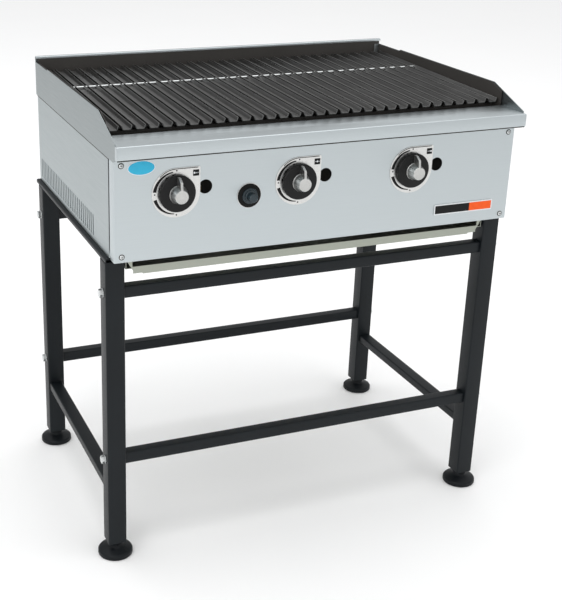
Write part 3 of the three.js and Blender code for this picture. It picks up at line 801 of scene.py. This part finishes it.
# ---------------------------------------------------------------- grate
BAR_PITCH = 27.6 * MM
BARS = 8
BAR_WIDTH = 23 * MM
BAR_DEPTH = 9 * MM
BAR_WALL = 2.2 * MM
BAR_TAPER = 3 * MM
BAR_LENGTH = 513 * MM
BAR_RISE = 12.4 * MM            # from the front end to the rear end
TIE_DEPTH = 6 * MM
TIE_WIDTH = 14 * MM
TIE_PLACES = (30 * MM, 474 * MM)
EDGE_HALF = 0.75 * MM           # half width of the painted glint strip on each bar edge
EDGE_SETBACK = 1.5 * MM         # from the ends of the bar
EDGE_LIFT = 0.12 * MM
ROD_PLACE = 340 * MM            # the tie rod through the bars, from their front end
ROD_RADIUS = 2.2 * MM
ROD_DEPTH = 3.4 * MM


def grate_section(index, mats):
    """Eight channel bars on two ties, with painted glints along their edges and a tie rod through
    them.
    """
    node = f"grate_section_{index}"
    body = f"grate_{index}"
    low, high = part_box(node)
    x_middle = (low.x + high.x) / 2
    bar_places = [x_middle + (i - (BARS - 1) / 2) * BAR_PITCH for i in range(BARS)]
    slope = math.atan2(BAR_RISE, BAR_LENGTH)
    front_top = Vector((0, low.y, high.z - BAR_LENGTH * math.sin(slope)))
    tilted = Matrix.Translation(front_top) @ Matrix.Rotation(slope, 4, "X")

    builder = bmesh.new()
    half = BAR_WIDTH / 2
    for x in bar_places:
        path = [(0, x + half), (-BAR_DEPTH, x + half - BAR_TAPER),
                (-BAR_DEPTH, x - half + BAR_TAPER), (0, x - half)]
        sheet_prism(builder, "y", folded(path, BAR_WALL, 3 * MM, 4), 0, BAR_LENGTH)
    tie_half = BAR_PITCH * BARS / 2 - 2 * MM
    for y in TIE_PLACES:
        tie = rectangle(y, -BAR_DEPTH - TIE_DEPTH, y + TIE_WIDTH, -BAR_DEPTH + 0.5 * MM)
        strip_prism(builder, "x", rounded(tie, 1 * MM, steps=2),
                    x_middle - tie_half, x_middle + tie_half)
    bmesh.ops.transform(builder, matrix=tilted, verts=builder.verts)
    piece = finish_piece(f"grate_bars_{index}", builder, mats["grate"], body,
                         [node], 30)
    bevel_edges(piece, 0.6 * MM, 50)

    # Thin strips on the bar edges that carry a painted highlight: bright glints in places.
    edges = bmesh.new()
    for bar in bar_places:
        for turn in (-1, 1):
            x = bar + turn * (BAR_WIDTH - BAR_WALL) / 2
            strip = rounded([
                (-0.5 * MM, x - EDGE_HALF), (-0.5 * MM, x + EDGE_HALF),
                (-0.05 * MM, x + EDGE_HALF), (-0.05 * MM, x - EDGE_HALF)], 0.2 * MM, steps=2)
            strip_prism(edges, "y", strip, EDGE_SETBACK, BAR_LENGTH - EDGE_SETBACK)
    bmesh.ops.translate(edges, vec=(0, 0, EDGE_LIFT), verts=edges.verts)
    bmesh.ops.transform(edges, matrix=tilted, verts=edges.verts)
    finish_piece(f"grate_painted_glint_edges_{index}", edges, mats["painted_glint"], body)

    rod = bmesh.new()
    rod_half = BAR_PITCH * BARS / 2 - 3.2 * MM
    plug(rod, "x", ROD_RADIUS, x_middle - rod_half, x_middle + rod_half,
         (ROD_PLACE, -ROD_DEPTH), 20)
    bmesh.ops.transform(rod, matrix=tilted, verts=rod.verts)
    finish_piece(f"grate_rod_{index}", rod, mats["zinc"], body)


def cooking_parts(mats):
    for index in SECTIONS:
        grate_section(index, mats)
    for station in STATIONS:
        dress(f"burner_{station}", mats["iron"], 0)
        dress(f"radiant_{station}", mats["iron"], 0.3 * MM)
        dress(f"valve_spindle_{station}", mats["brass"], 0)
    dress("gas_manifold", mats["brass"], 0)
    dress("drip_tray", mats["galvanised"], 0.3 * MM)
    for side, _ in SIDES:
        dress(f"tray_runner_{side}", mats["galvanised"], 0.3 * MM)
    tray_ears(mats)


EAR_SHEET = 1.2 * MM
# Millimetres above the tray's top edge and outside its side.
EAR_CORNERS = ((-9, -0.1), (13.5, 13), (22, 13), (22, 1.6), (0.2, 1.6), (0.2, -0.1))


def tray_ears(mats):
    """Flared ends of the front of the drip tray, which cover the ends of the runners."""
    low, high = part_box("drip_tray")
    edge, top = high.x, high.z
    for side_name, side in SIDES:
        builder = bmesh.new()
        ear = [(top + up * MM, side * (edge + out * MM)) for up, out in EAR_CORNERS]
        strip_prism(builder, "y", ear, low.y, low.y + EAR_SHEET)
        finish_piece(f"tray_ear_{side_name}", builder, mats["galvanised"], "drip_tray")


# ---------------------------------------------------------------- controls
def bezel_outline(z, x, left, right, rise, grow, steps=28):
    """Round plate with one square corner at the top right, as (z, x) points."""
    left, right, rise = left + grow, right + grow, rise + grow
    points = rounded([(z + rise, x), (z + rise, x + right), (z, x + right)],
                     [0, 3 * MM, 0], closed=False, steps=4)
    for i in range(1, steps):
        a = math.pi * 1.5 * i / steps
        side = right if math.cos(a) > 0 else left
        points.append((z - rise * math.sin(a), x + side * math.cos(a)))
    return points


def bezel(station, mats):
    node = f"knob_bezel_{station}"
    low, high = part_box(node)
    centre = middle(f"knob_{station}")
    left, right, rise = centre.x - low.x, high.x - centre.x, high.z - centre.z
    builder = bmesh.new()
    face = bezel_outline(centre.z, centre.x, left, right, rise, -0.3 * MM)
    brim = bezel_outline(centre.z, centre.x, left, right, rise, 0)
    rings = []
    for outline, y in ((brim, high.y), (brim, low.y + 0.4 * MM), (face, low.y)):
        rings.append([builder.verts.new(at("y", u, v, y)) for u, v in outline])
    for first, second in zip(rings, rings[1:]):
        bridge(builder, first, second)
    builder.faces.new(rings[0])
    builder.faces.new(rings[-1])
    plate = finish_piece(f"bezel_plate_{station}", builder, mats["bezel"], "cabinet",
                         [node])
    hole = bmesh.new()
    plug(hole, "y", SPINDLE_HOLE, low.y - HOLE_MARGIN, high.y + HOLE_MARGIN,
         (centre.z, centre.x))
    cut(plate, loose("bezel_hole", hole))
    bezel_marks(station, centre, low.y, mats)


def flat_mark(builder, outline, front):
    """Thin flat mark, printed or painted shade: an outline of (z, x) points lifted off the face
    behind it.
    """
    strip_prism(builder, "y", outline, front - 2 * FINE_GAP, front - 0.2 * FINE_GAP)


SCALE_INNER = 41.5 * MM         # inner radius of the two bands
SCALE_BANDS = ((100, 174, 2.2, 7.0), (194, 264, 7.0, 1.6))  # degrees, then widths in mm
STOP_RING = 44.5 * MM
TOP_SHADE_LINE_RADII = (47.2 * MM, 48.6 * MM)
TOP_SHADE_LINE_END = 44 * MM
SQUARE_SIZE = 12.5 * MM
SQUARE_CORNER = (43.5 * MM, 46 * MM)


def polar(centre, radius, degrees):
    """A (z, x) point on a circle round `centre`, counted from +X towards +Z."""
    angle = math.radians(degrees)
    return (centre.z + radius * math.sin(angle), centre.x + radius * math.cos(angle))


def bezel_marks(station, centre, front, mats):
    """Printed scale: two bands that swell and taper, dots at the stops, a blank square, and a dark
    line inside the top edge that is painted shade along the raised rim.
    """
    builder = bmesh.new()
    steps = 14
    for start, end, width0, width1 in SCALE_BANDS:
        inner, outer = [], []
        for i in range(steps + 1):
            share = i / steps
            degrees = start + (end - start) * share
            width = (width0 + (width1 - width0) * share) * MM
            inner.append(polar(centre, SCALE_INNER, degrees))
            outer.append(polar(centre, SCALE_INNER + width, degrees))
        flat_mark(builder, outer + inner[::-1], front)
    for degrees in (90, 180, 270):
        dot = arc(polar(centre, STOP_RING, degrees), 1.5 * MM, 0, 360, 16)[:-1]
        flat_mark(builder, dot, front)
    # Painted shade: a dark line just inside the top edge of the plate, along its raised rim.
    lower, upper = [
        [polar(centre, r, degrees) for degrees in range(135, 89, -5)]
        + [(centre.z + r, centre.x + TOP_SHADE_LINE_END)] for r in TOP_SHADE_LINE_RADII]
    flat_mark(builder, upper + lower[::-1], front)
    z1, x1 = centre.z + SQUARE_CORNER[0], centre.x + SQUARE_CORNER[1]
    z0, x0 = z1 - SQUARE_SIZE, x1 - SQUARE_SIZE
    square = [(z0, x0), (z0, x1), (z1, x1), (z1, x0)]
    flat_mark(builder, rounded(square, 0.8 * MM, steps=3), front)
    finish_piece(f"bezel_marks_{station}", builder, mats["black_print_and_shade"], "cabinet")
    # Three small dots for the three burners; the one that this knob feeds is larger.
    dots = bmesh.new()
    for other in STATIONS:
        radius = (1.9 if other == station else 0.9) * MM
        place = (z1 - SQUARE_SIZE / 2, x1 - SQUARE_SIZE / 2 + (other - 2) * 3.6 * MM)
        flat_mark(dots, arc(place, radius, 0, 360, 20)[:-1], front - 2 * FINE_GAP)
    finish_piece(f"bezel_dots_{station}", dots, mats["white_film"], "cabinet")


def knob(station, mats):
    node = f"knob_{station}"    # the body has the same name
    low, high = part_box(node)
    x, z = (low.x + high.x) / 2, (low.z + high.z) / 2
    back, front = high.y, low.y
    disc = (high.x - low.x) / 2
    length = back - front
    builder = bmesh.new()
    dish = round_profile([
        (4.5 * MM, 0), (disc - 0.8 * MM, 0), (disc, 0.8 * MM), (disc, 4.2 * MM),
        (disc - 2.2 * MM, 6.4 * MM), (24 * MM, 7.2 * MM), (20 * MM, 7.8 * MM), (16 * MM, 7.8 * MM)],
        0.7 * MM)
    lathe(builder, "y", [(r, back - h) for r, h in dish], (z, x), 72)
    finish_piece(f"knob_disc_{station}", builder, mats["knob_disc"], node, [node])

    shaft = bmesh.new()
    stem = round_profile([
        (4.3 * MM, 5 * MM), (18.4 * MM, 5 * MM), (18.4 * MM, 8.6 * MM), (17.6 * MM, 9.6 * MM),
        (13.6 * MM, length - 1.6 * MM), (12.8 * MM, length - 0.3 * MM), (11.8 * MM, length),
        (10.6 * MM, length - 0.6 * MM), (0, length - 0.6 * MM)], 0.5 * MM)
    lathe(shaft, "y", [(r, back - h) for r, h in stem], (z, x), 64)
    finish_piece(f"knob_stem_{station}", shaft, mats["knob_metal"], node)

    fin = bmesh.new()
    start, end = z + 11.5 * MM, z + disc - 2.5 * MM
    fin_outline = rounded([
        (back - 6 * MM, start), (back - 6 * MM, end), (back - 15 * MM, end),
        (front + 3 * MM, end - 7 * MM), (front + 1 * MM, start)],
        [0, 0.5 * MM, 1.2 * MM, 1.0 * MM, 0], steps=4)
    strip_prism(fin, "x", fin_outline, x - 2.5 * MM, x + 2.5 * MM)
    blade = finish_piece(f"knob_fin_{station}", fin, mats["knob_metal"], node)
    bevel_edges(blade, 0.7 * MM, 60, 3)


def igniter(mats):
    low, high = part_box("igniter_body")
    x, _, z = middle("igniter_body")
    radius = (high.x - low.x) / 2
    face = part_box("control_panel")[0].y - 0.6 * MM
    builder = bmesh.new()
    profile = round_profile([
        (9.3 * MM, -20 * MM), (10.4 * MM, -20 * MM), (10.4 * MM, -0.3 * MM),
        (radius - 0.6 * MM, -0.3 * MM), (radius, 0.6 * MM), (radius, 2.0 * MM),
        (radius - 2.2 * MM, 3.4 * MM), (17 * MM, 4.0 * MM), (9.3 * MM, 4.0 * MM)], 0.5 * MM)
    lathe(builder, "y", [(r, face - h) for r, h in profile], (z, x), 64)
    plug(builder, "y", 10.4 * MM, face + 20 * MM, high.y, (z, x))
    finish_piece("igniter_shell", builder, mats["gloss"], "cabinet",
                 ["igniter_body"])

    collar = bmesh.new()
    steps = round_profile([
        (9.3 * MM, 3.8 * MM), (16.6 * MM, 3.8 * MM), (15.8 * MM, 6.6 * MM), (13.2 * MM, 7.2 * MM),
        (13 * MM, 12.0 * MM), (12 * MM, 12.9 * MM), (9.3 * MM, 12.9 * MM)], 0.5 * MM)
    lathe(collar, "y", [(r, face - h) for r, h in steps], (z, x), 64)
    finish_piece("igniter_collar", collar, mats["push"], "cabinet")

    low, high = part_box("igniter_button")
    button = bmesh.new()
    cap = round_profile([
        (0, high.y), (8.9 * MM, high.y), (8.9 * MM, low.y + 1.6 * MM), (7.4 * MM, low.y + 0.2 * MM),
        (0, low.y)], 1.0 * MM)
    lathe(button, "y", cap, (z, x), 48)
    finish_piece("igniter_push", button, mats["push"], "igniter_button",
                 ["igniter_button"])

    rim = bmesh.new()
    lathe(rim, "y", round_profile([
        (radius - 1.4 * MM, face + 0.4 * MM), (radius + 1.2 * MM, face + 0.4 * MM),
        (radius + 1.2 * MM, face - 0.5 * MM), (radius - 1.4 * MM, face - 0.5 * MM)], 0.2 * MM),
        (z, x), 64)
    finish_piece("igniter_rim", rim, mats["bezel"], "cabinet")


def oval_label(mats):
    """Blank oval sticker near the top left corner of the panel."""
    low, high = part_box("control_panel")
    x, z = low.x + 55.8 * MM, high.z - 24.6 * MM
    front = low.y
    for name, half_x, half_z, out, ink in (
            ("label_edge", 27.5, 14.5, 1, "white_film"), ("label_face", 26.2, 13.2, 2, "blue_ink")):
        builder = bmesh.new()
        outline = [(z + half_z * MM * math.sin(a), x + half_x * MM * math.cos(a))
                   for a in (2 * math.pi * i / 64 for i in range(64))]
        flat_mark(builder, outline, front - (out - 1) * 2 * FINE_GAP)
        finish_piece(name, builder, mats[ink], "cabinet")


def badge(mats):
    """Blank two-colour plate with a light rim."""
    low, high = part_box("badge")
    builder = bmesh.new()
    outline = rounded([(low.z, low.x), (low.z, high.x), (high.z, high.x), (high.z, low.x)],
                      2.4 * MM, steps=4)
    strip_prism(builder, "y", outline, low.y, high.y)
    plate = finish_piece("badge_plate", builder, mats["badge_rim"], "cabinet",
                         ["badge"])
    bevel_edges(plate, 0.4 * MM, 60)
    rim = 2.6 * MM
    split = low.x + (high.x - low.x) * 0.6
    for name, x0, x1, ink in (("badge_dark", low.x + rim, split, "black_print_and_shade"),
                              ("badge_bright", split, high.x - rim, "orange_ink")):
        field = bmesh.new()
        flat_mark(field, [(low.z + rim, x0), (low.z + rim, x1), (high.z - rim, x1),
                          (high.z - rim, x0)], low.y)
        finish_piece(name, field, mats[ink], "cabinet")


def controls(mats):
    for station in STATIONS:
        bezel(station, mats)
        knob(station, mats)
    igniter(mats)
    oval_label(mats)
    badge(mats)


# ---------------------------------------------------------------- everything
make_camera()
make_studio()
materials = make_materials()
stand(materials)
skin(materials)
cooking_parts(materials)
controls(materials)
